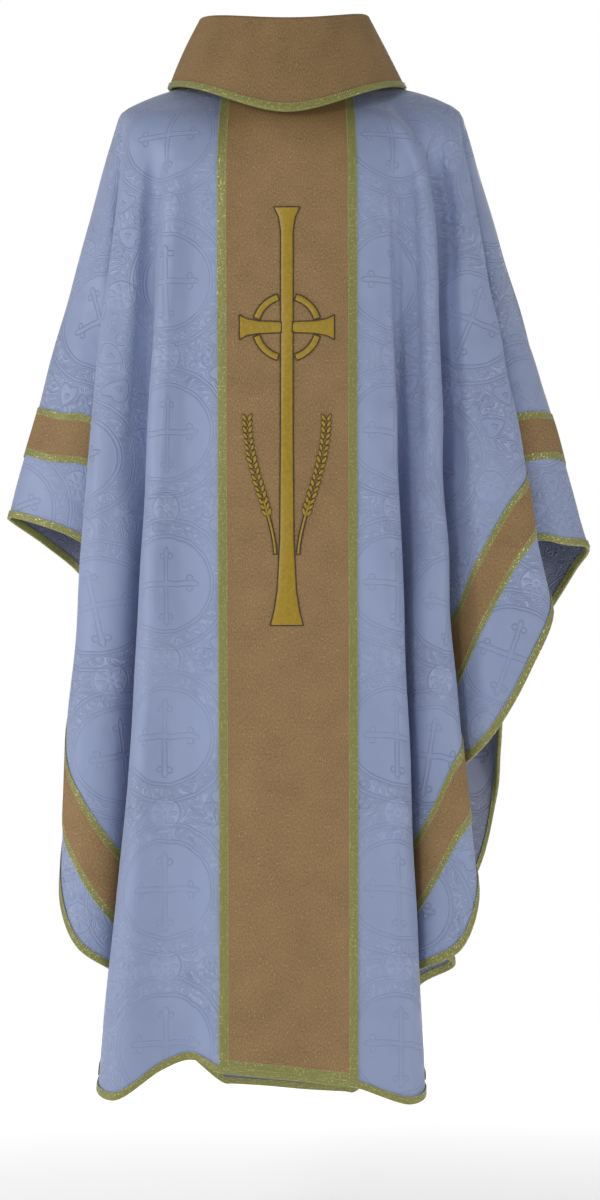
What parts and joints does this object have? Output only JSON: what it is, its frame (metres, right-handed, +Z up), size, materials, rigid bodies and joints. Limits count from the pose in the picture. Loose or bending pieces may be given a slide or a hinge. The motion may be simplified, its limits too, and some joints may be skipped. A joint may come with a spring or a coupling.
{
  "type": "chasuble",
  "caption": "Worn chasuble hanging in folds: damask front and back, gold column and side bands, ribbon edging, roll collar and an embroidered cross.",
  "frame": {"origin": "middle of the neck opening at the height where the wearer's shoulders carry the garment", "axes": "+Z up, +X towards the wearer's right arm as worn (picture right), -Y out of the face that carries the embroidery, which is the back"},
  "size_m": [0.7361, 0.3591, 1.3692],
  "materials": {
    "damask": "tone on tone damask weave, cool white",
    "gold_cloth": "gold brocade with metallic flecks",
    "ribbon": "green gold metallic ribbon",
    "embroidery": "satin stitched thread"
  },
  "bodies": {
    "root": {"back_band_left_gold": "gold_cloth", "back_band_left_ribbon_in": "ribbon", "back_band_left_ribbon_out": "ribbon", "back_band_right_gold": "gold_cloth", "back_band_right_ribbon_in": "ribbon", "back_band_right_ribbon_out": "ribbon", "back_column": "gold_cloth", "back_column_foot": "ribbon", "back_column_ribbon_a": "ribbon", "back_column_ribbon_b": "ribbon", "back_hem_binding": "ribbon", "back_panel": "damask", "collar": "gold_cloth", "collar_edging": "ribbon", "cross_arm_left": "embroidery", "cross_arm_right": "embroidery", "cross_stem": "embroidery", "front_band_left_gold": "gold_cloth", "front_band_left_ribbon_in": "ribbon", "front_band_left_ribbon_out": "ribbon", "front_band_right_gold": "gold_cloth", "front_band_right_ribbon_in": "ribbon", "front_band_right_ribbon_out": "ribbon", "front_column": "gold_cloth", "front_column_foot": "ribbon", "front_column_ribbon_a": "ribbon", "front_column_ribbon_b": "ribbon", "front_hem_binding": "ribbon", "front_panel": "damask", "ring_lower_left": "embroidery", "ring_lower_right": "embroidery", "ring_upper_left": "embroidery", "ring_upper_right": "embroidery", "wheat_left": "embroidery", "wheat_right": "embroidery"}
  },
  "joints": []
}
